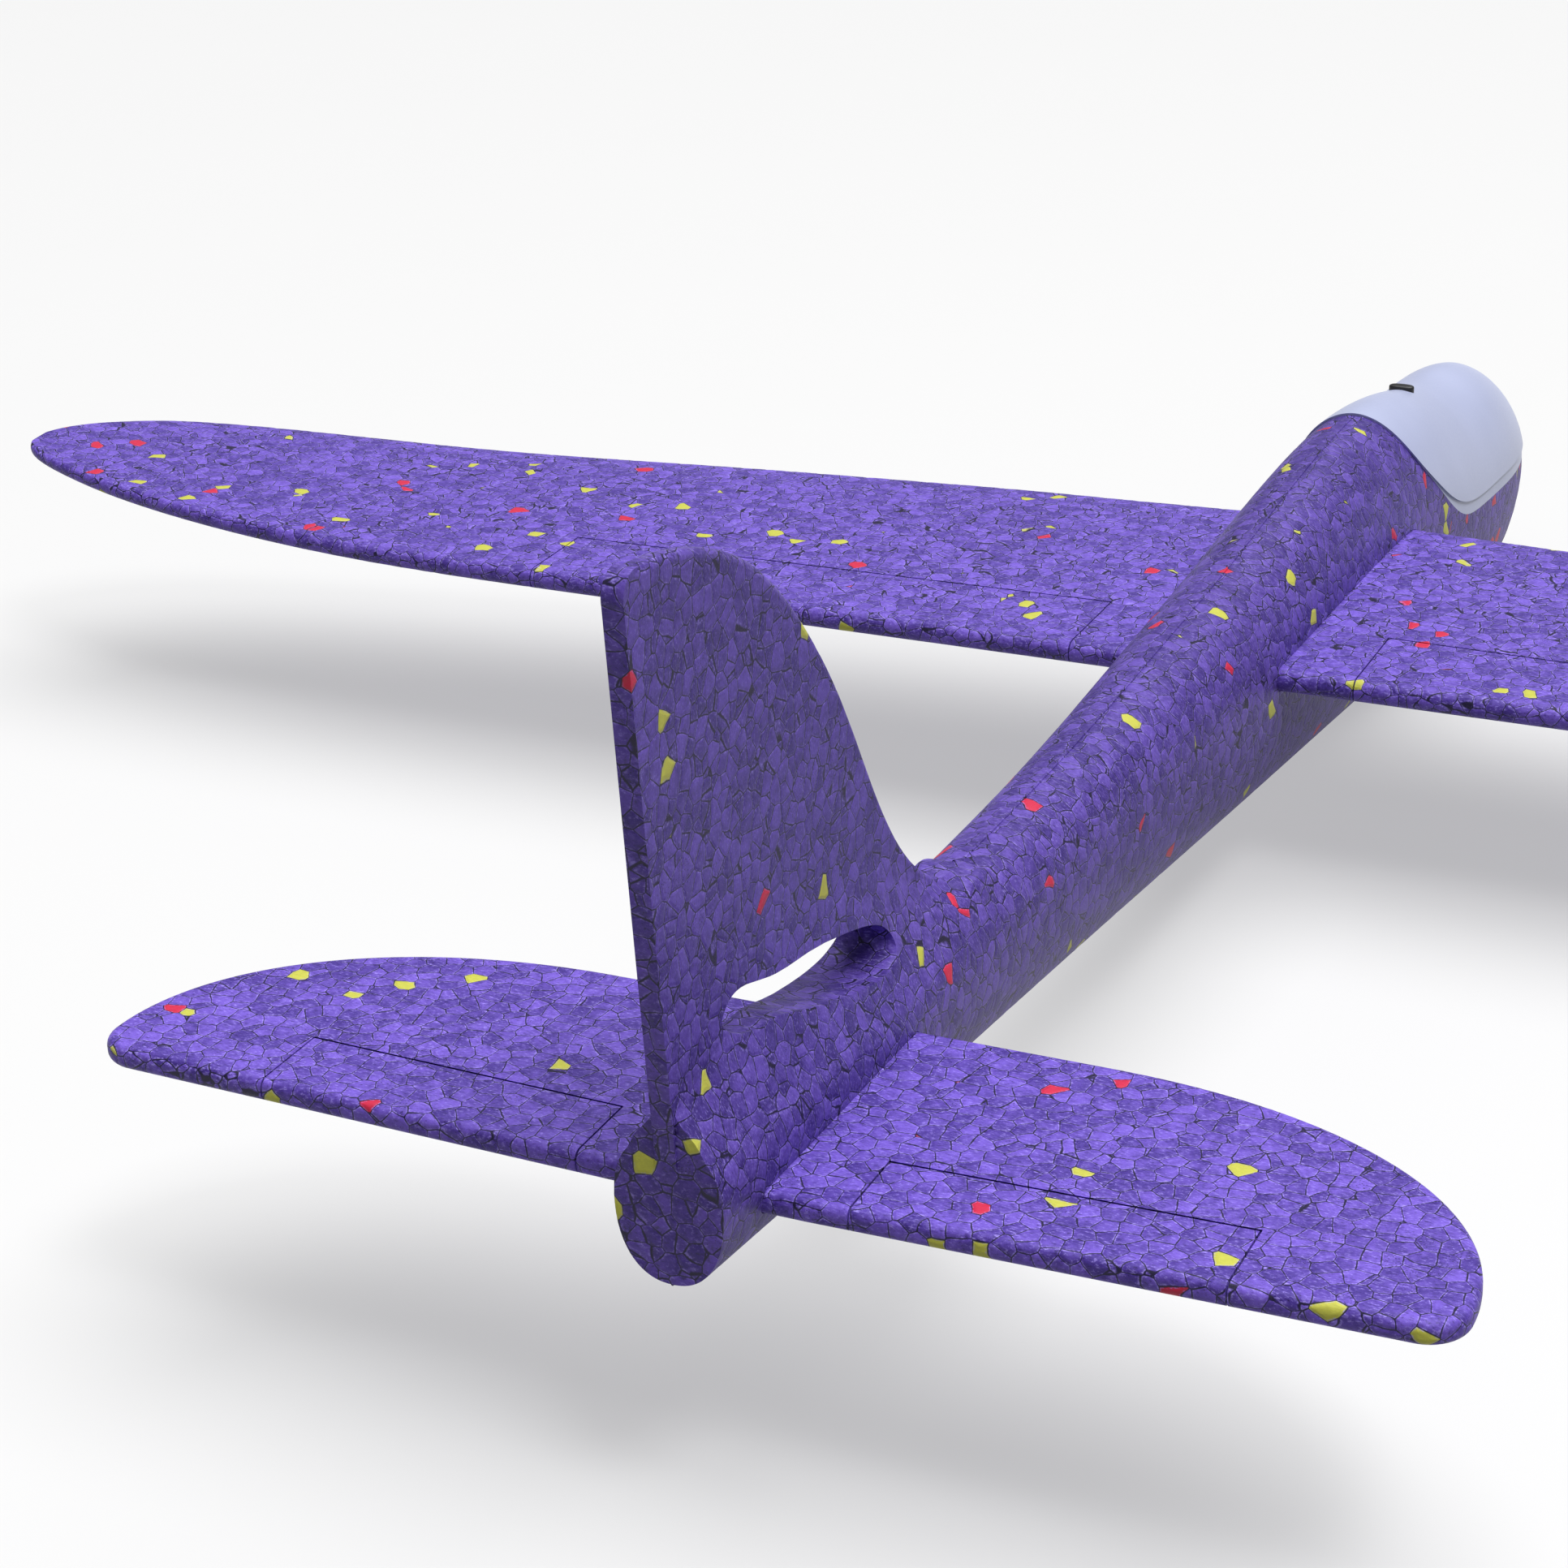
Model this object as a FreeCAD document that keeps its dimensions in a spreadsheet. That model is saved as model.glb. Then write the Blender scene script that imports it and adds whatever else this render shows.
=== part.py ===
import FreeCAD, Part
import os
import math

# Moulded-foam throwing glider, 478 mm span.  Nose toward -Y, +Z up, wings along X,
# mirror plane x = 0.  The pilot's left wing is on +X.  Places below are measured from a point
# under the wing root; every piece is then moved so that the origin is under the overall middle.

os.makedirs("parts", exist_ok=True)
doc = FreeCAD.newDocument("glider")
V = FreeCAD.Vector

SIZES = [
    # fuselage stations: place, half width, top, underside
    ("bodyYa", 236.9), ("bodyHalfa", 6.8), ("bodyTopa", 50.9), ("bodyBasea", 32.3),
    ("bodyYb", 184.0), ("bodyHalfb", 7.8), ("bodyTopb", 48.5), ("bodyBaseb", 26.6),
    ("bodyYc", 125.0), ("bodyHalfc", 8.9), ("bodyTopc", 47.6), ("bodyBasec", 20.6),
    ("bodyYd", 52.0), ("bodyHalfd", 11.3), ("bodyTopd", 50.4), ("bodyBased", 13.2),
    ("bodyYe", -26.5), ("bodyHalfe", 13.5), ("bodyTope", 55.8), ("bodyBasee", 5.1),
    ("bodyYf", -51.0), ("bodyHalff", 14.8), ("bodyTopf", 53.5), ("bodyBasef", 2.9),
    ("bodyYg", -75.5), ("bodyHalfg", 15.4), ("bodyTopg", 48.8), ("bodyBaseg", 1.4),
    ("noseY", -127.3), ("noseZ", 17.0), ("widestShare", 0.55),
    # origin: middle of the overall box, at its base
    ("originY", 57.8), ("originZ", 1.38),
    # fin
    ("finThick", 2.6), ("finTop", 118.8), ("finLean", 5.9), ("finEdge", 1.0),
    ("fairingFront", 152.0), ("fairingFall", 196.0), ("fairingRise", 15.0),
    # upper tail slot
    ("slotRearY", 224.5), ("slotRearZ", 60.0), ("slotLength", 44.0),
    ("slotTilt", 12.5), ("slotThick", 7.0), ("slotRearThick", 3.0),
    # wing
    ("wingZ", 36.4), ("halfSpan", 239.0),
    ("wingThick", 4.9), ("wingEdge", 3.7), ("tipRise", 6.4), ("riseFrom", 132.0),
    # ailerons
    ("aileronIn", 23.6), ("aileronOut", 122.0), ("aileronHingeIn", 29.6),
    ("aileronHingeOut", 31.8), ("aileronNose", 2.45),
    # tailplane and elevators
    ("tailZ", 38.7), ("tailHalf", 86.6), ("tailFront", 183.4), ("tailRear", 227.0),
    ("tailRearTip", 225.3), ("tailStraight", 33.0), ("tailThick", 3.1),
    ("tailRound", 1.25), ("elevatorIn", 17.4), ("elevatorOut", 61.0),
    ("elevatorHingeIn", 216.1), ("elevatorHingeOut", 214.7), ("elevatorNose", 1.85),
    # gaps
    ("hingeGap", 0.2), ("endGap", 0.25), ("fit", 0.1),
    # canopy
    ("canopyRearY", -31.5), ("canopyLowZ", 29.0), ("canopyWall", 1.2), ("domeProud", 0.4),
    ("rimWidth", 2.4), ("lipDepth", 3.0), ("lipThick", 1.2), ("lipOverlap", 0.4),
    ("lipAbove", 2.0), ("lipFront", -109.0), ("lipRear", -48.0),
    # black insert in the canopy crown
    ("insertY", -62.0), ("insertLong", 4.6), ("insertWide", 2.3), ("insertDeep", 3.0),
    ("insertProud", 0.1), ("insertFit", 0.05),
    # ballast slug under the canopy
    ("slugRadius", 4.5), ("slugHeight", 9.0), ("slugY", -88.0), ("slugSunk", 3.0),
]
sheet = doc.addObject("Spreadsheet::Sheet", "Sizes")
for row, (alias, value) in enumerate(SIZES, start=1):
    sheet.set("A%d" % row, alias)
    sheet.set("B%d" % row, str(value))
    sheet.setAlias("B%d" % row, alias)
doc.recompute()


def size(alias):
    return float(sheet.get(alias))


def closed_curve(points):
    curve = Part.BSplineCurve()
    curve.interpolate(points, PeriodicFlag=True)
    return Part.Wire([curve.toShape()])


def open_curve(points):
    curve = Part.BSplineCurve()
    curve.interpolate(points)
    return curve.toShape()


def smooth(places, values, at):
    """Smooth value at one place between stations, without overshoot."""
    count = len(places)
    slopes = [(values[i + 1] - values[i]) / (places[i + 1] - places[i]) for i in range(count - 1)]
    grades = [slopes[0]]
    for before, after in zip(slopes, slopes[1:]):
        grades.append(0.0 if before * after <= 0 else 2 * before * after / (before + after))
    grades.append(slopes[-1])
    i = max(0, min(count - 2, sum(1 for place in places[1:] if place <= at)))
    gap = places[i + 1] - places[i]
    t = (at - places[i]) / gap
    return ((1 + 2 * t) * (1 - t) ** 2 * values[i] + t * (1 - t) ** 2 * gap * grades[i]
            + t * t * (3 - 2 * t) * values[i + 1] + t * t * (t - 1) * gap * grades[i + 1])


# ---------------------------------------------------------------- fuselage hull
ROUNDNESS = 2.25           # 2 is an ellipse, more is squarer, less is more peaked
REAR_CROWN_ROUNDNESS = 1.98    # upper half, at the rear of the canopy
CROWN_ROUNDNESS = 1.8      # upper half, under the canopy


def hull_section(y, half, top, base):
    """One egg-shaped cross-section, widest a little above the middle."""
    crown = smooth([size("bodyYf"), size("bodyYe"), size("bodyYd")],
                   [CROWN_ROUNDNESS, REAR_CROWN_ROUNDNESS, ROUNDNESS],
                   min(max(y, size("bodyYf")), size("bodyYd")))
    middle = base + (top - base) * size("widestShare")
    points = []
    for step in range(24):
        turn = 2 * math.pi * step / 24
        side, rise = math.cos(turn), math.sin(turn)
        power = 2 / (crown if rise > 0 else ROUNDNESS)
        x = half * math.copysign(abs(side) ** power, side)
        reach = top - middle if rise > 0 else middle - base
        z = middle + reach * math.copysign(abs(rise) ** power, rise)
        points.append(V(x, y, z))
    return closed_curve(points)


MARKS = "gfedcba"     # stations from the nose end to the tail


def body_size(kind, y):
    """Half width, top or underside of the fuselage at one place along it."""
    return smooth([size("bodyY" + m) for m in MARKS], [size(kind + m) for m in MARKS], y)


def hull(grow):
    """The fuselage without fin or slots, grown outward by grow."""
    start, rear = size("bodyYg"), size("bodyYa")
    steps = 14
    sections = []
    for step in range(steps, -1, -1):
        y = start + (rear - start) * step / steps
        sections.append(hull_section(y, body_size("bodyHalf", y) + grow,
                                     body_size("bodyTop", y) + grow,
                                     body_size("bodyBase", y) - grow))
    tip, tip_z = size("noseY") - grow, size("noseZ")
    half, top, base = size("bodyHalfg") + grow, size("bodyTopg") + grow, size("bodyBaseg") - grow
    for share in (0.3, 0.52, 0.7, 0.83, 0.92, 0.975):
        shrink = math.sqrt(1 - share ** 2.3)
        sections.append(hull_section(start + (tip - start) * share, half * shrink,
                                     tip_z + (top - tip_z) * shrink,
                                     tip_z + (base - tip_z) * shrink))
    sections.append(Part.Vertex(V(0, tip, tip_z + 1.5)))
    return Part.makeLoft(sections, True, False)


# ---------------------------------------------------------------- fin
def fin():
    """Flat fin with its rear edge leaning back and a swept, curved front edge."""
    rear, lean, top = size("bodyYa"), size("finLean"), size("finTop")
    half = size("finThick") / 2
    low = size("bodyTopa") - 5
    corner = V(-half, rear + lean, top - 3.5)
    crest = V(-half, rear + lean - 3.0, top)
    front = open_curve([crest, V(-half, 230.6, top - 1.3), V(-half, 223.2, top - 3.4),
                        V(-half, 215.5, 112.0), V(-half, 207.7, 106.6), V(-half, 200.7, 99.8),
                        V(-half, 190.2, 86.4), V(-half, 179.1, 67.9), V(-half, 171.5, 58.0),
                        V(-half, 162.0, 50.6), V(-half, 148.0, 46.5)])
    round_corner = Part.Arc(corner, V(-half, rear + lean - 0.8, top - 0.8), crest).toShape()
    edges = [Part.makeLine(V(-half, rear, low), corner), round_corner, front,
             Part.makeLine(V(-half, 148.0, 46.5), V(-half, 148.0, low - 3)),
             Part.makeLine(V(-half, 148.0, low - 3), V(-half, rear, low - 3)),
             Part.makeLine(V(-half, rear, low - 3), V(-half, rear, low))]
    blade = Part.Face(Part.Wire(edges)).extrude(V(2 * half, 0, 0))
    rounded = blade.makeFillet(size("finEdge"), [
        edge for edge in blade.Edges
        if edge.BoundBox.XLength < 0.01 and edge.BoundBox.ZMax > low + 1 and edge.BoundBox.YLength > 1])
    # the rear edge stays a flat strip with sharp corners
    return rounded.fuse(blade.cut(blade.translated(V(0, -1.6, 0)))).removeSplitter()


def fairing():
    """Concave web that blends the fin into the top of the fuselage."""
    front, rear, fall_from, steps = size("fairingFront"), size("bodyYa"), size("fairingFall"), 10
    sections = []
    for step in range(steps + 1):
        y = front + (rear - front) * step / steps
        half, top = body_size("bodyHalf", y), body_size("bodyTop", y)
        climb = min(1.0, max(0.0, (y - front - 3.0) / 26.0)) ** 1.6
        fall = 1.0 - 0.75 * max(0.0, (y - fall_from) / (rear - fall_from)) ** 1.5
        rise = 0.6 + size("fairingRise") * climb * fall
        right = [V(half * 0.93, y, top - 6.5), V(half * 0.72, y, top - 2.2),
                 V(half * 0.48, y, top + 0.15 * rise), V(half * 0.29, y, top + 0.48 * rise),
                 V(size("finThick") / 2 - 0.05, y, top + rise)]
        left = [V(-p.x, p.y, p.z) for p in reversed(right)]
        sections.append(Part.Wire([open_curve(right), Part.makeLine(right[-1], left[0]),
                                   open_curve(left), Part.makeLine(left[-1], right[0])]))
    return Part.makeLoft(sections, True, False)


def upper_slot():
    """Tapered through-slot under the fin, nose-down: the second tailplane seat."""
    reach, thick, thin = size("slotLength"), size("slotThick") / 2, size("slotRearThick") / 2
    tilt = math.radians(size("slotTilt"))
    outline = []
    upper = ((0.02, 0.85 * thin), (0.25, 0.55 * thin + 0.45 * thick), (0.5, 0.15 * thin + 0.85 * thick),
             (0.72, thick), (0.9, 0.86 * thick), (0.98, 0.45 * thick))
    lower = [(along, -across) for along, across in reversed(upper)]
    for along, across in [(0, 0), *upper, (1, 0), *lower]:
        y = size("slotRearY") - along * reach * math.cos(tilt) - across * math.sin(tilt)
        z = size("slotRearZ") - along * reach * math.sin(tilt) + across * math.cos(tilt)
        outline.append(V(-14, y, z))
    return Part.Face(closed_curve(outline)).extrude(V(28, 0, 0))


# ---------------------------------------------------------------- wing
# along the half span: share of it, front edge, rear edge, share of full thickness
WING_SHARE = (0.0, 0.25, 0.5, 0.69, 0.83, 0.92, 0.96, 0.985, 1.0)
WING_FRONT = (-28.0, -24.0, -17.2, -9.8, -3.2, 4.2, 10.5, 17.0, 24.5)
WING_REAR = (48.1, 48.1, 48.1, 47.2, 44.4, 40.2, 37.2, 34.4, 30.5)
WING_THICK = (1.0, 1.0, 0.98, 0.93, 0.86, 0.76, 0.66, 0.55, 0.4)


def wing_section(x, front, rear, share, grow):
    """Slab section: round nose, gently domed top, full-round rear edge."""
    past = max(0.0, abs(x) - size("riseFrom")) / (size("halfSpan") - size("riseFrom"))
    z = size("wingZ") + size("tipRise") * past ** 2
    front, rear = front - grow, rear + grow
    chord = rear - front
    up = size("wingThick") / 2 * share + grow
    edge = size("wingEdge") / 2 * share + grow
    turn = rear - edge * 0.9

    def side(sign):
        return open_curve([V(x, front, z), V(x, front + 0.012 * chord, z + sign * 0.45 * up),
                           V(x, front + 0.06 * chord, z + sign * 0.82 * up),
                           V(x, front + 0.3 * chord, z + sign * up),
                           V(x, front + 0.65 * chord, z + sign * (up + edge) / 2),
                           V(x, turn, z + sign * edge)])
    back = Part.Arc(V(x, turn, z + edge), V(x, rear, z), V(x, turn, z - edge)).toShape()
    return Part.Wire([side(1), back, side(-1)])


def wing_blank(grow):
    """The whole wing, tip to tip, before the ailerons are scored."""
    half = [0.0, 0.1, 0.2, 0.3, 0.4, 0.5, 0.6, 0.7, 0.8, 0.87, 0.92, 0.955, 0.98, 1.0]
    sections = []
    for share in [-value for value in half[:0:-1]] + half:
        front, rear, thick = [smooth(WING_SHARE, row, abs(share))
                              for row in (WING_FRONT, WING_REAR, WING_THICK)]
        sections.append(wing_section(share * size("halfSpan"), front, rear, thick, grow))
    return Part.makeLoft(sections, True, False)


# ---------------------------------------------------------------- tailplane
def tail_blank(grow):
    """One flat slab with elliptical tips and rounded edges."""
    half, front, rear = size("tailHalf") + grow, size("tailFront") - grow, size("tailRear") + grow
    rear_tip, straight = size("tailRearTip") + grow, size("tailStraight")
    low = size("tailZ") - size("tailThick") / 2 - grow
    widest = rear_tip - 5.0

    def tip(hand):
        points = []
        for step in range(9):
            turn = math.pi / 2 * step / 8
            x = straight + (half - straight) * math.sin(turn) ** (2 / 2.1)
            y = widest - (widest - front) * math.cos(turn) ** (2 / 2.1)
            points.append(V(hand * x, y, low))
        return open_curve(points)

    def corner(hand):
        return Part.Arc(V(hand * half, widest, low), V(hand * (half - 1.6), rear_tip - 1.5, low),
                        V(hand * (half - 5.5), rear_tip, low)).toShape()
    edges = [Part.makeLine(V(-straight, front, low), V(straight, front, low)), tip(1), corner(1),
             Part.makeLine(V(half - 5.5, rear_tip, low), V(12, rear, low)),
             Part.makeLine(V(12, rear, low), V(-12, rear, low)),
             Part.makeLine(V(-12, rear, low), V(-half + 5.5, rear_tip, low)), corner(-1), tip(-1)]
    outline = Part.Wire(Part.__sortEdges__(edges))
    slab = Part.Face(outline).extrude(V(0, 0, size("tailThick") + 2 * grow))
    flat = [edge for edge in slab.Edges if edge.BoundBox.ZLength < 0.01]
    return slab.makeFillet(size("tailRound") + grow * 0.5, flat)


# ---------------------------------------------------------------- scored flaps
def flap_zone(hand, inner, outer, hinge_in, hinge_out, nose, z, gap, end):
    """Everything behind a scored bend line, with a round nose on the bend axis."""
    x0, x1 = inner - end, outer + end
    slope = (hinge_out - hinge_in) / (outer - inner)
    y0, y1 = hinge_in - end * slope, hinge_out + end * slope
    a, b = V(hand * x0, y0, z), V(hand * x1, y1, z)
    far, tall = 60.0, 16.0
    plan = Part.makePolygon([V(a.x, y0, z - tall / 2), V(b.x, y1, z - tall / 2),
                             V(b.x, y1 + far, z - tall / 2), V(a.x, y0 + far, z - tall / 2),
                             V(a.x, y0, z - tall / 2)])
    block = Part.Face(plan).extrude(V(0, 0, tall))
    rod = Part.makeCylinder(nose + gap, (b - a).Length + 4, a - (b - a).normalize() * 2, b - a)
    # the rod is squared off level with the ends of the flap
    ends = Part.makeBox(x1 - x0, 80, tall, V(min(a.x, b.x), min(y0, y1) - 10, z - tall / 2))
    return block.fuse(rod.common(ends))


def aileron_zone(hand, gap, end):
    return flap_zone(hand, size("aileronIn"), size("aileronOut"), size("aileronHingeIn"),
                     size("aileronHingeOut"), size("aileronNose"), size("wingZ"), gap, end)


def elevator_zone(hand, gap, end):
    return flap_zone(hand, size("elevatorIn"), size("elevatorOut"), size("elevatorHingeIn"),
                     size("elevatorHingeOut"), size("elevatorNose"), size("tailZ"), gap, end)


# ---------------------------------------------------------------- canopy
def canopy_zone(inset):
    """Everything above the canopy's edge, seen from the side; inset lifts the lower edge."""
    rear, low, top = size("canopyRearY"), size("canopyLowZ"), 70.0
    corner = [V(-30, rear, top), V(-30, rear, low + 26.0), V(-30, rear - 2.4, low + 20.3),
              V(-30, rear - 9.6, low + 12.2 + 0.2 * inset), V(-30, rear - 15.8, low + 6.8 + 0.6 * inset),
              V(-30, rear - 23.0, low + 2.8 + inset), V(-30, rear - 32.5, low + 1.1 + inset),
              V(-30, rear - 46.5, low + inset), V(-30, rear - 68.0, low - 1.8 + inset),
              V(-30, -140, low - 4.5 + inset)]
    ahead = V(-30, -140, top)
    return Part.Face(Part.Wire([open_curve(corner), Part.makeLine(corner[-1], ahead),
                                Part.makeLine(ahead, corner[0])])).extrude(V(60, 0, 0))


def oblong(grow, top, deep):
    """Upright oblong block across the canopy crown: the insert and its hole."""
    wide, long = size("insertWide") + 2 * grow, size("insertLong") + 2 * grow
    flat = long - wide
    block = Part.makeBox(flat, wide, deep, V(-flat / 2, size("insertY") - wide / 2, top - deep))
    for x in (-flat / 2, flat / 2):
        block = block.fuse(Part.makeCylinder(wide / 2, deep, V(x, size("insertY"), top - deep)))
    return block.removeSplitter()


def add(label, shape):
    """Put a finished solid in the document under its own name."""
    if shape.ShapeType == "Compound" and len(shape.Solids) == 1:
        shape = shape.Solids[0]
    feature = doc.addObject("Part::Feature", label)
    feature.Label = label
    feature.Shape = shape
    feature.Placement = FreeCAD.Placement(V(0, -size("originY"), -size("originZ")), FreeCAD.Rotation())
    return feature


outer = hull(0.0)
body = outer.fuse(fairing()).fuse(fin()).cut(upper_slot())
body = body.cut(wing_blank(size("fit"))).cut(tail_blank(size("fit")))
deck = canopy_zone(0.0)
wall = size("canopyWall")
inner = hull(-wall)
# the lip is a band inside the canopy's edge that pushes down into a groove in the foam
lip = hull(size("lipOverlap") - wall).cut(hull(-wall - size("lipThick")))
lip = lip.common(deck.translated(V(0, 0, -size("lipDepth"))))
lip = lip.cut(deck.translated(V(0, 0, size("lipAbove"))))
lip = lip.common(Part.makeBox(60, size("lipRear") - size("lipFront"), 80, V(-30, size("lipFront"), 0)))
body = body.cut(deck).cut(lip)
slug_base = V(0, size("slugY"), size("canopyLowZ") - size("slugSunk") - size("slugHeight"))
body = body.cut(Part.makeCylinder(size("slugRadius") + size("fit"), 40, slug_base))

dome = hull(size("domeProud")).common(canopy_zone(size("rimWidth")))
shell = outer.common(deck).fuse(dome).cut(inner).fuse(lip)
crown = body_size("bodyTop", size("insertY")) + size("domeProud")
shell = shell.cut(oblong(size("insertFit"), crown + 5, 14))
insert = oblong(0.0, crown + 1, size("insertDeep") + 1)
insert = insert.common(hull(size("domeProud") + size("insertProud")))

wing = wing_blank(0.0)
tail = tail_blank(0.0)
main_wing, tailplane = wing, tail
for hand in (1, -1):
    main_wing = main_wing.cut(aileron_zone(hand, size("hingeGap"), size("endGap")))
    tailplane = tailplane.cut(elevator_zone(hand, size("hingeGap"), size("endGap")))

add("fuselage", body)
add("main_wing", main_wing)
add("aileron_left", wing.common(aileron_zone(1, 0, 0)))
add("aileron_right", wing.common(aileron_zone(-1, 0, 0)))
add("tailplane", tailplane)
add("elevator_left", tail.common(elevator_zone(1, 0, 0)))
add("elevator_right", tail.common(elevator_zone(-1, 0, 0)))
add("canopy", shell)
add("canopy_insert", insert)

slug = doc.addObject("Part::Cylinder", "nose_weight")
slug.Label = "nose_weight"
slug.setExpression("Radius", "Sizes.slugRadius")
slug.setExpression("Height", "Sizes.slugHeight")
slug.setExpression("Placement.Base.y", "Sizes.slugY - Sizes.originY")
slug.setExpression("Placement.Base.z",
                   "Sizes.canopyLowZ - Sizes.slugSunk - Sizes.slugHeight - Sizes.originZ")
doc.recompute()

NODES = ("fuselage", "main_wing", "aileron_left", "aileron_right", "tailplane", "elevator_left",
         "elevator_right", "canopy", "canopy_insert", "nose_weight")
for name in NODES:
    part = doc.getObject(name)
    assert not {"Invalid", "Error"} & set(part.State), name
    assert not part.Shape.isNull() and part.Shape.isValid(), name
    assert len(part.Shape.Solids) == 1, (name, len(part.Shape.Solids))
    part.Shape.exportStep("parts/%s.step" % name)
    middle = part.Shape.CenterOfMass
    print("%-15s %9.1f mm3  centre %6.1f %6.1f %6.1f" % (name, part.Shape.Volume, *middle))

whole = Part.makeCompound([doc.getObject(name).Shape for name in NODES]).optimalBoundingBox()
print("overall x %.2f %.2f  y %.2f %.2f  z %.2f %.2f" % (whole.XMin, whole.XMax, whole.YMin,
                                                         whole.YMax, whole.ZMin, whole.ZMax))
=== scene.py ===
"""Moulded bead-foam throwing glider on a plain pale floor."""

import math

import bmesh
import bpy
from mathutils import Matrix, Vector
from mathutils.bvhtree import BVHTree


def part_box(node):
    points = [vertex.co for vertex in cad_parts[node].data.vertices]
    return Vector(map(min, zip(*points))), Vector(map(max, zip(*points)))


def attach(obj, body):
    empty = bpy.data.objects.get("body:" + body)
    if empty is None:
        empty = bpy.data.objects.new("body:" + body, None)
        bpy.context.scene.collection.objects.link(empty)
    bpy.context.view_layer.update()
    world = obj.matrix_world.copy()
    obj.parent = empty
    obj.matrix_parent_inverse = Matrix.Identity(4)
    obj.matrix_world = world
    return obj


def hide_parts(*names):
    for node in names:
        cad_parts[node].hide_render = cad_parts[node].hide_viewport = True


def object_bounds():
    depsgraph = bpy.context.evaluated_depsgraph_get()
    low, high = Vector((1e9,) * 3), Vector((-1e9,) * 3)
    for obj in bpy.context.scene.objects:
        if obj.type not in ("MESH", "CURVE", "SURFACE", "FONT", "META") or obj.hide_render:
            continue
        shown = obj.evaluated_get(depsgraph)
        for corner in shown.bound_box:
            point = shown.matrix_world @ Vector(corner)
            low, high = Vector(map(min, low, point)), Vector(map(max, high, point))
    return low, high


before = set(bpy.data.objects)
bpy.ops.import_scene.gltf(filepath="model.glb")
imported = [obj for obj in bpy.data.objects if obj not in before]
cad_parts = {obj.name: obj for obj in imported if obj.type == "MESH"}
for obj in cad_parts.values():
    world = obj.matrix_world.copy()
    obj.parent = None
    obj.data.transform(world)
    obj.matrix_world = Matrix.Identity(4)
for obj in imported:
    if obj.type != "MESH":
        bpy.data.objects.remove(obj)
cad_low, cad_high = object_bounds()

# ------------------------------------------------------------------ sizes, metres
BEAD = 0.0024           # width of one foam bead
GROOVE = 0.031          # about half the width of the groove between beads, as a share of a bead
SEAM_RADIUS = 0.00022   # mould line along the fuselage
SEAM_POINTS = 91
RAY_START = 0.3         # well outside the glider, above or below it
CAP_RISE = 0.0005       # the insert's cap stands this far above the CAD insert
CAP_POINTS = 48
STAGE_RADIUS = 7.0      # half the floor's side
MM = 0.001

# the camera: place in metres, angles in degrees, lens and sensor in millimetres
CAMERA_SPOT = (-0.1548, 0.4688, 0.2333)
CAMERA_TURN, CAMERA_DIP, CAMERA_BANK = 25.63, 23.34, -1.72
CAMERA_LENS, CAMERA_SENSOR = 78.0, 36.0

# ------------------------------------------------------------------ colours, linear
PURPLE = (0.155, 0.088, 0.530)
PURPLE_DEEP = (0.050, 0.024, 0.230)
PURPLE_GROOVE = (0.004, 0.002, 0.020)
# pale purple: the beads' own light streaks, and also the painted highlight along the bead edges
PURPLE_SPECK_AND_HIGHLIGHT = (0.370, 0.290, 0.840)
RED = (0.620, 0.020, 0.070)
YELLOW = (0.560, 0.560, 0.080)
# painted light and shade: the fuselage and fin foam is darkened as painted shade, every other foam
# part brightened as painted light
BODY_PAINTED_SHADE, WING_PAINTED_LIGHT = 0.84, 1.16      # of the purples above
CANOPY = (0.440, 0.480, 0.680)
BLACK = (0.012, 0.012, 0.014)
STEEL = (0.55, 0.56, 0.58)
FLOOR = (0.37, 0.37, 0.37)
FLOOR_GLOW = 0.45
BACKDROP = (0.0, 0.0, 0.0)
BACKDROP_GLOW = 0.92


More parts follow.
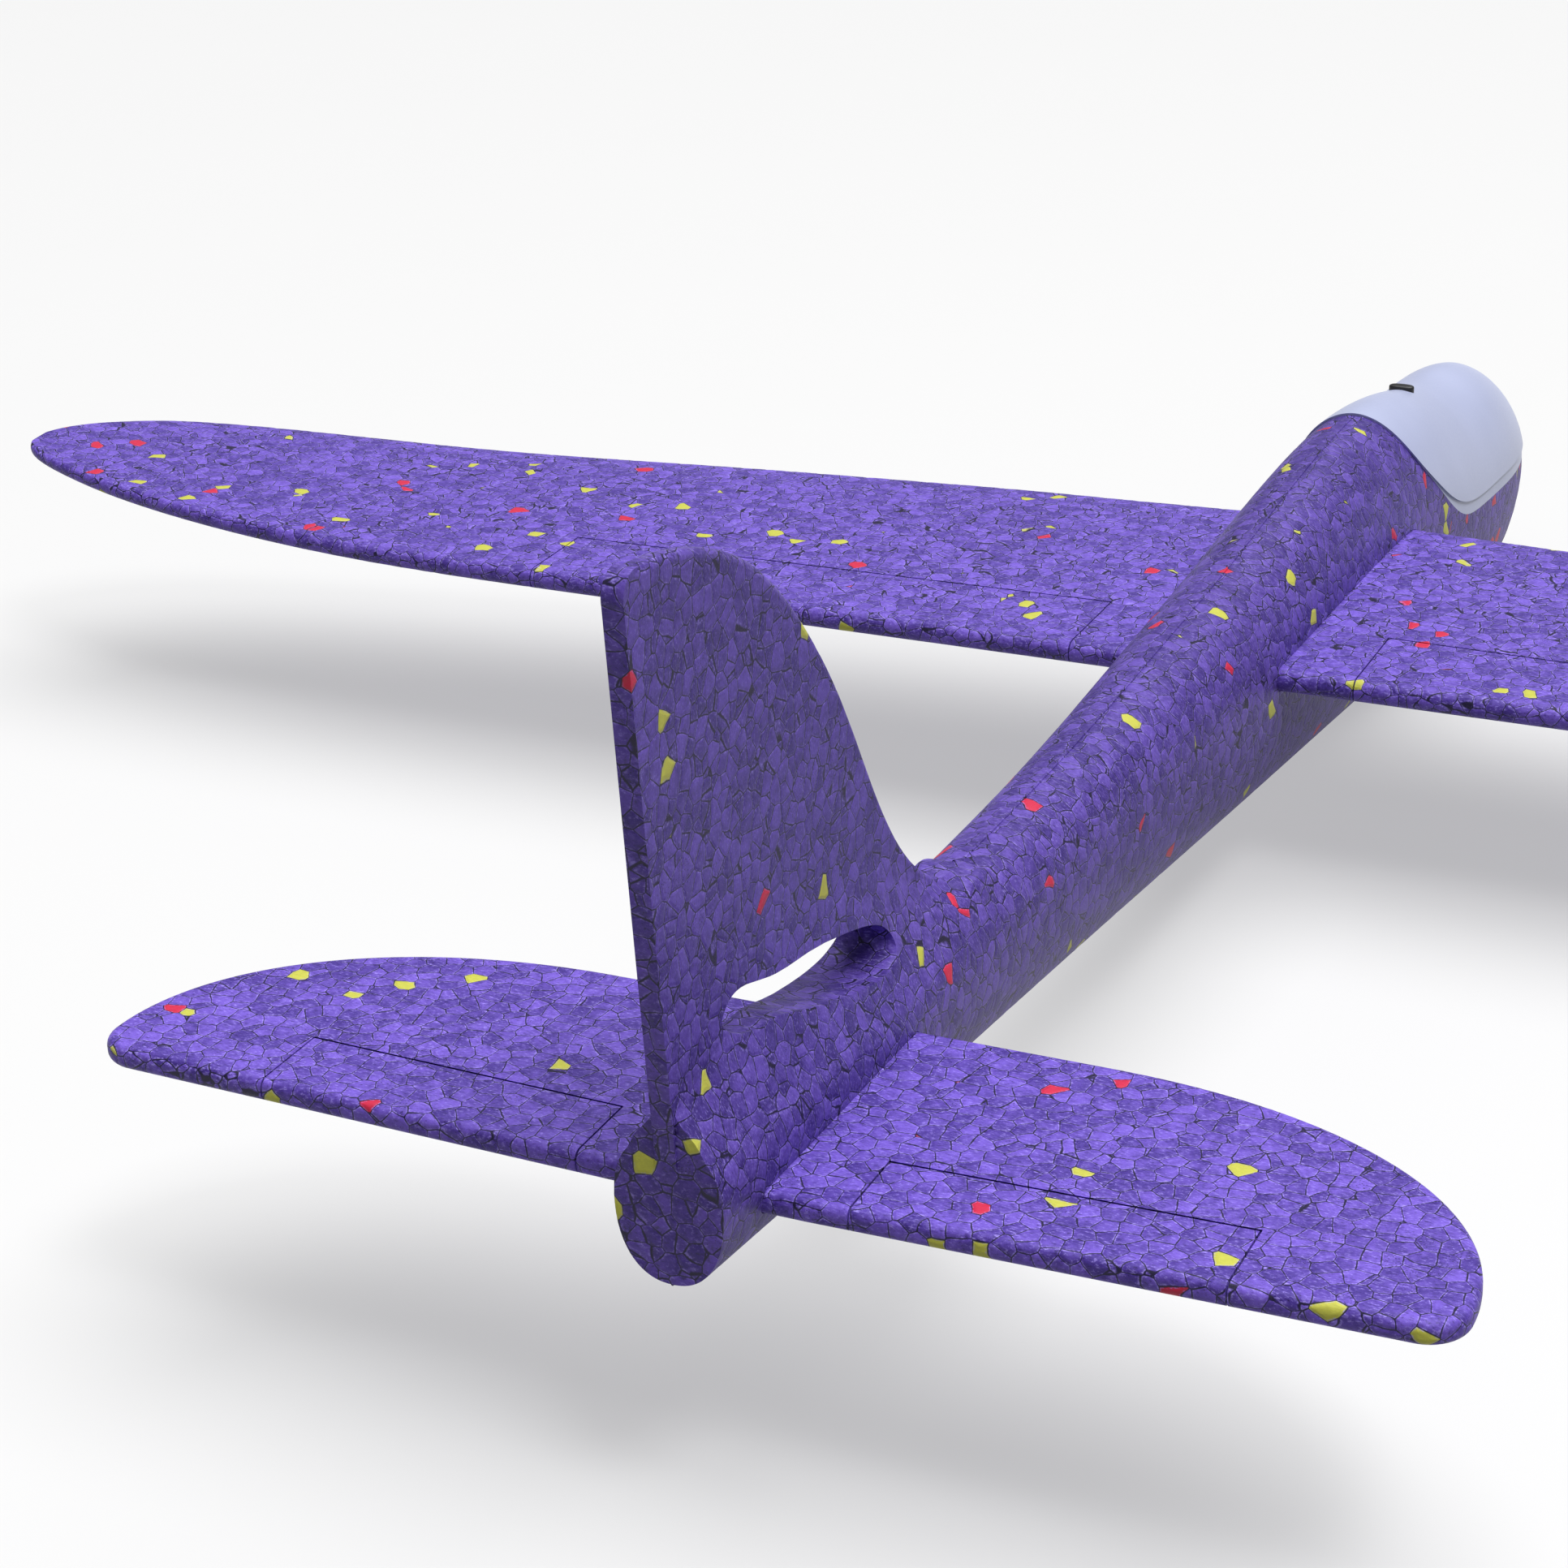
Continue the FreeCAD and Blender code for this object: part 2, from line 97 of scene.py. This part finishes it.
# ------------------------------------------------------------------ node helpers
class Nodes:
    """Short names for the node calls used by every material here."""

    def __init__(self, name):
        self.material = bpy.data.materials.new(name)
        self.material.use_nodes = True
        self.tree = self.material.node_tree
        self.shader = self.tree.nodes["Principled BSDF"]

    def add(self, kind, **settings):
        node = self.tree.nodes.new(kind)
        for key, value in settings.items():
            setattr(node, key, value)
        return node

    def link(self, source, target):
        self.tree.links.new(source, target)

    def place(self):
        return self.add("ShaderNodeTexCoord").outputs["Object"]

    def math(self, operation, a, b=0.0, clamp=False):
        node = self.add("ShaderNodeMath", operation=operation, use_clamp=clamp)
        for socket, value in zip(node.inputs, (a, b)):
            if hasattr(value, "is_output"):
                self.link(value, socket)
            else:
                socket.default_value = value
        return node.outputs[0]

    def steps(self, value, low, high, out_low=0.0, out_high=1.0):
        node = self.add("ShaderNodeMapRange", interpolation_type="SMOOTHSTEP")
        self.link(value, node.inputs["Value"])
        for name, number in (("From Min", low), ("From Max", high),
                             ("To Min", out_low), ("To Max", out_high)):
            node.inputs[name].default_value = number
        return node.outputs["Result"]

    def mix(self, share, a, b):
        node = self.add("ShaderNodeMix", data_type="RGBA")
        self.link(share, node.inputs["Factor"])
        for socket, value in zip((node.inputs[6], node.inputs[7]), (a, b)):
            if hasattr(value, "is_output"):
                self.link(value, socket)
            else:
                socket.default_value = (*value, 1.0)
        return node.outputs[2]

    def noise(self, place, scale, detail=2.0, rough=0.5):
        node = self.add("ShaderNodeTexNoise")
        self.link(place, node.inputs["Vector"])
        node.inputs["Scale"].default_value = scale
        node.inputs["Detail"].default_value = detail
        node.inputs["Roughness"].default_value = rough
        return node

    def cells(self, place, scale, feature="F1", scatter=0.82):
        node = self.add("ShaderNodeTexVoronoi", feature=feature)
        self.link(place, node.inputs["Vector"])
        node.inputs["Scale"].default_value = scale
        node.inputs["Randomness"].default_value = scatter
        return node

    def bump(self, height, strength, distance, under=None):
        node = self.add("ShaderNodeBump")
        self.link(height, node.inputs["Height"])
        node.inputs["Strength"].default_value = strength
        node.inputs["Distance"].default_value = distance
        if under is not None:
            self.link(under, node.inputs["Normal"])
        return node.outputs["Normal"]


# ------------------------------------------------------------------ materials
def bead_foam(name, painted_light_scale):
    """Expanded bead foam: packed polygonal beads, dark grooves, a painted highlight along each
    bead's edge, odd red and yellow beads.
    """
    n = Nodes(name)
    # every purple of this foam is scaled: below 1 it is painted shade, above 1 painted light
    face, deep, speck_and_highlight = [tuple(painted_light_scale * part for part in shade)
                         for shade in (PURPLE, PURPLE_DEEP, PURPLE_SPECK_AND_HIGHLIGHT)]
    place = n.place()

    # beads aren't perfect polyhedra: their edges wander a little
    wander = n.noise(place, 0.55 / BEAD, 1.0)
    shift = n.add("ShaderNodeVectorMath", operation="MULTIPLY_ADD")
    n.link(wander.outputs["Color"], shift.inputs[0])
    shift.inputs[1].default_value = (0.42 * BEAD,) * 3
    n.link(place, shift.inputs[2])
    bent = shift.outputs["Vector"]

    scale = 1.0 / BEAD
    edge = n.cells(bent, scale, "DISTANCE_TO_EDGE").outputs["Distance"]
    bead = n.cells(bent, scale)
    pick = n.add("ShaderNodeSeparateColor")
    n.link(bead.outputs["Color"], pick.inputs["Color"])
    tone, kind, other = pick.outputs["Red"], pick.outputs["Green"], pick.outputs["Blue"]

    # grooves thin out and break up here and there
    uneven = n.noise(place, 1.6 / BEAD, 3.0, 0.6).outputs["Fac"]
    reach = n.steps(uneven, 0.35, 0.7, 0.8 * GROOVE, 1.9 * GROOVE)
    groove = n.math("SUBTRACT", 1.0, n.math("DIVIDE", edge, reach, clamp=True))
    groove = n.math("MULTIPLY", groove, 1.7, clamp=True)

    # inside a bead: streaky skin, each bead brushed its own way, and on some beads pinholes
    streak = n.add("ShaderNodeVectorMath", operation="MULTIPLY_ADD")
    n.link(bead.outputs["Color"], streak.inputs[0])
    streak.inputs[1].default_value = (3.0 * BEAD,) * 3
    n.link(place, streak.inputs[2])
    stretch = n.add("ShaderNodeMapping")
    n.link(streak.outputs["Vector"], stretch.inputs["Vector"])
    stretch.inputs["Rotation"].default_value = (0.5, 0.6, 0.7)
    stretch.inputs["Scale"].default_value = (1.0, 2.6, 1.6)
    fine = n.noise(stretch.outputs["Vector"], 3.4 / BEAD, 5.0, 0.72).outputs["Fac"]
    cloud = n.noise(place, 1.1 / BEAD, 3.0, 0.6).outputs["Fac"]
    shade = n.math("ADD", n.math("MULTIPLY", tone, 0.34), n.math("MULTIPLY", cloud, 0.76))
    purple = n.mix(n.steps(shade, 0.30, 0.82), deep, face)
    purple = n.mix(n.steps(fine, 0.52, 0.72, 0.0, 0.70), purple, speck_and_highlight)
    purple = n.mix(n.steps(fine, 0.30, 0.47, 0.72, 0.0), purple, PURPLE_GROOVE)
    holes = n.cells(place, 7.0 / BEAD).outputs["Distance"]
    holed = n.math("MULTIPLY", n.steps(holes, 0.16, 0.30, 1.0, 0.0), n.steps(other, 0.88, 0.90))
    purple = n.mix(n.math("MULTIPLY", holed, 0.75), purple, PURPLE_GROOVE)

    is_red = n.math("LESS_THAN", kind, 0.008)
    is_yellow = n.math("MULTIPLY", n.math("LESS_THAN", kind, 0.020), n.math("SUBTRACT", 1.0, is_red))
    dull = n.steps(fine, 0.35, 0.65, 0.72, 1.0)

    def fleck(colour):
        return n.mix(dull, tuple(0.62 * part for part in colour), colour)
    colour = n.mix(is_red, purple, fleck(RED))
    colour = n.mix(is_yellow, colour, fleck(YELLOW))
    # painted highlight: pale streaks along each bead's edge, just inside the groove, standing in for
    # light catching the bead rims
    painted_edge_highlight = n.math("MULTIPLY", n.steps(edge, 1.5 * GROOVE, 3.2 * GROOVE, 1.0, 0.0),
                 n.steps(fine, 0.46, 0.62, 0.0, 0.62))
    colour = n.mix(painted_edge_highlight, colour, speck_and_highlight)
    colour = n.mix(n.math("MULTIPLY", groove, 0.96), colour, PURPLE_GROOVE)
    n.link(colour, n.shader.inputs["Base Color"])

    # beads are slightly domed, grooves cut in, skin is faintly rough
    domed = n.steps(edge, 0.0, 0.22)
    normal = n.bump(domed, 0.42, 0.00024)
    normal = n.bump(fine, 0.6, 0.00012, normal)
    normal = n.bump(n.math("SUBTRACT", 1.0, holed), 0.4, 0.0001, normal)
    n.link(normal, n.shader.inputs["Normal"])
    n.link(n.steps(fine, 0.3, 0.7, 0.40, 0.58), n.shader.inputs["Roughness"])
    n.shader.inputs["Specular IOR Level"].default_value = 0.30
    return n.material


def satin_plastic(name, base, rough):
    """Smooth moulded plastic with a fine spark-eroded skin."""
    n = Nodes(name)
    place = n.place()
    broad = n.noise(place, 45.0, 2.0).outputs["Fac"]
    grain = n.noise(place, 2600.0, 3.0, 0.6).outputs["Fac"]
    dim = tuple(0.93 * part for part in base)
    n.link(n.mix(n.steps(broad, 0.3, 0.7), dim, base), n.shader.inputs["Base Color"])
    n.link(n.steps(grain, 0.3, 0.7, rough - 0.05, rough + 0.06), n.shader.inputs["Roughness"])
    n.link(n.bump(grain, 0.12, 0.00004), n.shader.inputs["Normal"])
    return n.material


def turned_steel():
    """Bare steel with faint turning marks, for the ballast slug."""
    n = Nodes("turned_steel")
    place = n.place()
    rings = n.noise(place, 900.0, 3.0, 0.7).outputs["Fac"]
    dark = tuple(0.6 * part for part in STEEL)
    n.link(n.mix(rings, dark, STEEL), n.shader.inputs["Base Color"])
    n.link(n.steps(rings, 0.3, 0.7, 0.3, 0.5), n.shader.inputs["Roughness"])
    n.link(n.bump(rings, 0.2, 0.00005), n.shader.inputs["Normal"])
    n.shader.inputs["Metallic"].default_value = 1.0
    return n.material


def pale_paper(name, base, glow):
    """Studio paper that glows a little, so that shadows on it stay pale."""
    n = Nodes(name)
    faint = n.noise(n.place(), 9.0, 3.0).outputs["Fac"]
    dim = tuple(0.985 * part for part in base)
    n.link(n.mix(faint, dim, base), n.shader.inputs["Base Color"])
    n.shader.inputs["Roughness"].default_value = 0.9
    n.shader.inputs["Specular IOR Level"].default_value = 0.1
    n.shader.inputs["Emission Color"].default_value = (1.0, 1.0, 1.0, 1.0)
    n.shader.inputs["Emission Strength"].default_value = glow
    return n.material


# one foam in two copies: the fuselage's darkened as painted shade, the other foam parts' brightened
# as painted light
shaded_body_foam = bead_foam("bead_foam_body_painted_shade", BODY_PAINTED_SHADE)
lit_wing_foam = bead_foam("bead_foam_wing_painted_light", WING_PAINTED_LIGHT)
plastic = satin_plastic("canopy_plastic", CANOPY, 0.36)
black = satin_plastic("black_plastic", BLACK, 0.42)
steel = turned_steel()

FINISH = {"fuselage": shaded_body_foam, "canopy": plastic, "canopy_insert": black, "nose_weight": steel}
for name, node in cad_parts.items():
    node.data.materials.clear()
    node.data.materials.append(FINISH.get(name, lit_wing_foam))


# ------------------------------------------------------------------ mould line
def surface_of(name):
    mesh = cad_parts[name]
    points = [mesh.matrix_world @ v.co for v in mesh.data.vertices]
    return BVHTree.FromPolygons(points, [tuple(p.vertices) for p in mesh.data.polygons])


def mould_line(name, start, stop, from_above):
    """Fine ridge where the two mould halves met, on the fuselage's mirror plane."""
    skin = surface_of("fuselage")
    down = -1.0 if from_above else 1.0
    curve = bpy.data.curves.new(name, "CURVE")
    curve.dimensions = "3D"
    curve.bevel_depth = SEAM_RADIUS
    curve.bevel_resolution = 2
    found = []
    for step in range(SEAM_POINTS):
        y = start + (stop - start) * step / (SEAM_POINTS - 1)
        place = skin.ray_cast(Vector((0, y, -down * RAY_START)), Vector((0, 0, down)))[0]
        if place is not None:
            found.append(place)
    spline = curve.splines.new("POLY")
    spline.points.add(len(found) - 1)
    for point, place in zip(spline.points, found):
        point.co = (*place, 1.0)
    line = bpy.data.objects.new(name, curve)
    bpy.context.scene.collection.objects.link(line)
    line.data.materials.append(shaded_body_foam)
    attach(line, "airframe")


# ------------------------------------------------------------------ canopy insert
def insert_cap():
    """Rounded black stud in the canopy's crown, standing just proud of it."""
    low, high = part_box("canopy_insert")
    middle = [(a + b) / 2 for a, b in zip(low, high)]
    half_long, half_wide = (high[0] - low[0]) / 2, (high[1] - low[1]) / 2
    top = high[2] + CAP_RISE
    profile = ((1.0, low[2]), (1.0, top - 0.35 * MM), (0.96, top - 0.18 * MM),
               (0.86, top - 0.07 * MM), (0.70, top - 0.02 * MM), (0.35, top))
    mesh = bmesh.new()
    rings = []
    for share, z in profile:
        ring = []
        for step in range(CAP_POINTS):
            turn = 2 * math.pi * step / CAP_POINTS
            side, along = math.cos(turn), math.sin(turn)
            x = half_long * share * math.copysign(abs(side) ** 0.8, side)
            y = half_wide * share * math.copysign(abs(along) ** 0.8, along)
            ring.append(mesh.verts.new((middle[0] + x, middle[1] + y, z)))
        rings.append(ring)
    for lower, upper in zip(rings, rings[1:]):
        for a in range(CAP_POINTS):
            b = (a + 1) % CAP_POINTS
            mesh.faces.new((lower[a], lower[b], upper[b], upper[a])).smooth = True
    mesh.faces.new(reversed(rings[0]))
    mesh.faces.new(rings[-1])
    data = bpy.data.meshes.new("canopy_insert_cap")
    mesh.to_mesh(data)
    mesh.free()
    cap = bpy.data.objects.new("canopy_insert_cap", data)
    bpy.context.scene.collection.objects.link(cap)
    data.materials.append(black)
    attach(cap, "airframe")
    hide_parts("canopy_insert")


canopy_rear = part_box("canopy")[1][1]
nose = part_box("fuselage")[0][1]
tail_front, tail_rear = [corner[1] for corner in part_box("tailplane")]
mould_line("mould_line_top", canopy_rear + 1 * MM, tail_front - 30 * MM, True)
mould_line("mould_line_belly", nose + 12 * MM, tail_rear + 9.8 * MM, False)

insert_cap()


# ------------------------------------------------------------------ floor, light, camera
def floor():
    bpy.ops.mesh.primitive_plane_add(size=2 * STAGE_RADIUS, location=(0, 0, cad_low[2]))
    plane = bpy.context.object
    plane.name = "floor"
    plane.data.materials.append(pale_paper("pale_floor", FLOOR, FLOOR_GLOW))
    plane.visible_diffuse = False      # the floor throws no light up onto the glider


def backdrop():
    """Pale surround above the floor's far edge; it neither lights nor shades anything."""
    bpy.ops.mesh.primitive_uv_sphere_add(segments=64, ring_count=32, radius=0.98 * STAGE_RADIUS,
                                         location=(0, 0, cad_low[2]))
    dome = bpy.context.object
    dome.name = "backdrop"
    dome.data.materials.append(pale_paper("pale_backdrop", BACKDROP, BACKDROP_GLOW))
    dome.visible_diffuse = dome.visible_glossy = dome.visible_shadow = False


def lamp(name, kind, place, target, strength, **settings):
    data = bpy.data.lights.new(name, kind)
    data.energy = strength
    for key, value in settings.items():
        setattr(data, key, value)
    light = bpy.data.objects.new(name, data)
    light.location = place
    light.rotation_euler = (Vector(target) - Vector(place)).to_track_quat("-Z", "Y").to_euler()
    bpy.context.scene.collection.objects.link(light)


def soft_studio():
    """A very wide soft source overhead, a small one behind the tail and a weak all-round fill."""
    world = bpy.data.worlds.new("studio")
    world.use_nodes = True
    world.node_tree.nodes["Background"].inputs["Color"].default_value = (1, 1, 1, 1)
    world.node_tree.nodes["Background"].inputs["Strength"].default_value = 0.27
    bpy.context.scene.world = world
    bpy.context.scene.view_settings.view_transform = "Standard"
    aim = (0, 0, 0.03)
    lamp("sky_panel", "SUN", (-0.12, -0.24, 1.0), aim, 3.0, angle=math.radians(60))
    lamp("crisp_panel", "AREA", (-0.55, 0.45, 1.3), aim, 7.0, size=0.4)


def photo_camera():
    """Behind the tail, above it and to the pilot's right."""
    turn, dip, bank = [math.radians(angle) for angle in (CAMERA_TURN, CAMERA_DIP, CAMERA_BANK)]
    ahead = Vector((math.sin(turn) * math.cos(dip), -math.cos(turn) * math.cos(dip),
                    -math.sin(dip)))
    level = Vector((-math.cos(turn), -math.sin(turn), 0))
    rise = level.cross(ahead)
    right = math.cos(bank) * level + math.sin(bank) * rise
    up = -math.sin(bank) * level + math.cos(bank) * rise
    data = bpy.data.cameras.new("camera")
    data.lens = CAMERA_LENS
    data.sensor_width = CAMERA_SENSOR
    camera = bpy.data.objects.new("camera", data)
    axes = Matrix((right, up, -ahead)).transposed()
    camera.matrix_world = Matrix.Translation(CAMERA_SPOT) @ axes.to_4x4()
    bpy.context.scene.collection.objects.link(camera)
    bpy.context.scene.camera = camera


floor()
backdrop()
soft_studio()
photo_camera()
